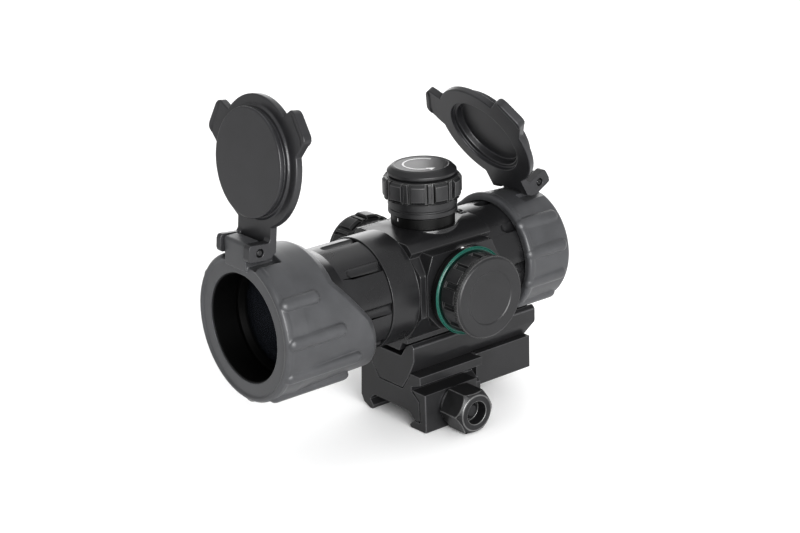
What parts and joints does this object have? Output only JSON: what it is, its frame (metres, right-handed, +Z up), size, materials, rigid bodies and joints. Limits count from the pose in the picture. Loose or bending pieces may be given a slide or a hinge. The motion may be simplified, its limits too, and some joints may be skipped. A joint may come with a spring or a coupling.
{
  "type": "red dot sight",
  "caption": "Tube red dot sight on a tall riser with a cross-bolt rail clamp, lobed adjustment turrets, a side brightness knob and rubber covers with flip-open caps.",
  "frame": {"origin": "on the flat roof of the rail channel, on the land behind the cross bolt", "axes": "+Y along the optical axis towards the eye, +Z up out of the rail, +X towards the brightness knob and clamp nut"},
  "size_m": [0.0665, 0.1139, 0.1107],
  "materials": {
    "anodised": "satin black anodised",
    "black_gloss": "smooth black anodised",
    "rubber": "matt dark grey moulded rubber",
    "plastic": "matt black moulded plastic",
    "steel": "blackened steel",
    "bright_steel": "bright turned steel",
    "green": "teal green enamel",
    "glass": "coated optical glass",
    "emitter": "dark red resin"
  },
  "bodies": {
    "sight": {"main_housing": "anodised", "front_barrel": "anodised", "rear_barrel": "anodised", "objective_lens": "glass", "objective_ring": "black_gloss", "eyepiece_lens": "glass", "eyepiece_ring": "black_gloss", "tube_spring": "bright_steel", "front_cover_sleeve": "rubber", "front_hinge_pin": "steel", "front_cap_spring": "steel", "rear_cover_sleeve": "rubber", "rear_hinge_pin": "steel", "rear_cap_spring": "steel", "elevation_base": "black_gloss", "elevation_seal": "rubber", "windage_base": "black_gloss", "windage_seal": "rubber", "knob_base": "black_gloss", "green_index_ring": "green", "battery_contact": "bright_steel", "riser_block": "anodised", "rail_base": "anodised", "cross_bolt": "steel", "mount_screw_front": "steel", "mount_screw_rear": "steel", "base_screw_front": "steel", "base_screw_rear": "steel"},
    "front_cap": {"front_flip_cap": "plastic"},
    "rear_cap": {"rear_flip_cap": "plastic"},
    "elevation_turret": {"elevation_dial": "anodised", "elevation_dial_plate": "anodised", "elevation_screw": "bright_steel"},
    "windage_turret": {"windage_dial": "anodised", "windage_dial_plate": "anodised", "windage_screw": "bright_steel"},
    "brightness_control": {"brightness_knob": "anodised", "battery_cell": "bright_steel"},
    "battery_cover": {"battery_cap": "anodised"},
    "yaw_ring": {"pivot_ring": "black_gloss"},
    "aiming_tube": {"inner_tube": "black_gloss", "led_emitter": "emitter"},
    "rail_clamp": {"clamp_plate": "anodised", "clamp_washer": "bright_steel"},
    "clamp_fastener": {"clamp_nut": "steel"}
  },
  "joints": [
    {"name": "front_cap_hinge", "type": "hinge", "parent": "sight", "child": "front_cap", "pos_m": [0, -0.0702, 0.063], "axis": [1, 0, 0], "range_deg": [0, 185.9], "stiffness_Nm_per_rad": 0.004, "springref_deg": -20.05},
    {"name": "rear_cap_hinge", "type": "hinge", "parent": "sight", "child": "rear_cap", "pos_m": [0, 0.0357, 0.0607], "axis": [-1, 0, 0], "range_deg": [0, 209], "stiffness_Nm_per_rad": 0.004, "springref_deg": -20.05},
    {"name": "elevation_turn", "type": "hinge", "parent": "sight", "child": "elevation_turret", "pos_m": [0, -0.005, 0.0657], "axis": [0, 0, 1], "range_deg": [-360, 360]},
    {"name": "windage_turn", "type": "hinge", "parent": "sight", "child": "windage_turret", "pos_m": [-0.0283, -0.005, 0.0389], "axis": [-1, 0, 0], "range_deg": [-360, 360]},
    {"name": "brightness_turn", "type": "hinge", "parent": "sight", "child": "brightness_control", "pos_m": [0.025, -0.005, 0.0389], "axis": [1, 0, 0], "range_deg": [-165, 165]},
    {"name": "battery_cap_turn", "type": "hinge", "parent": "brightness_control", "child": "battery_cover", "pos_m": [0.029, -0.005, 0.0389], "axis": [1, 0, 0], "range_deg": [0, 720]},
    {"name": "ring_yaw", "type": "hinge", "parent": "sight", "child": "yaw_ring", "pos_m": [0, 0.00475, 0.0389], "axis": [0, 0, 1], "range_deg": [-0.6, 0.6]},
    {"name": "tube_pitch", "type": "hinge", "parent": "yaw_ring", "child": "aiming_tube", "pos_m": [0, 0.00475, 0.0389], "axis": [1, 0, 0], "range_deg": [-0.6, 0.6]},
    {"name": "clamp_slide", "type": "slide", "parent": "sight", "child": "rail_clamp", "axis": [1, 0, 0], "range_m": [0, 0.003]},
    {"name": "clamp_nut_turn", "type": "hinge", "parent": "rail_clamp", "child": "clamp_fastener", "pos_m": [0.022, -0.0077, 0.0016], "axis": [1, 0, 0], "range_deg": [0, 1080]}
  ],
  "couplings": [
    {"joint": "tube_pitch", "follows": "elevation_turn", "ratio": 0.0013889},
    {"joint": "ring_yaw", "follows": "windage_turn", "ratio": 0.0013889},
    {"joint": "clamp_slide", "follows": "clamp_nut_turn", "m_per_rad": 0.00015915}
  ]
}
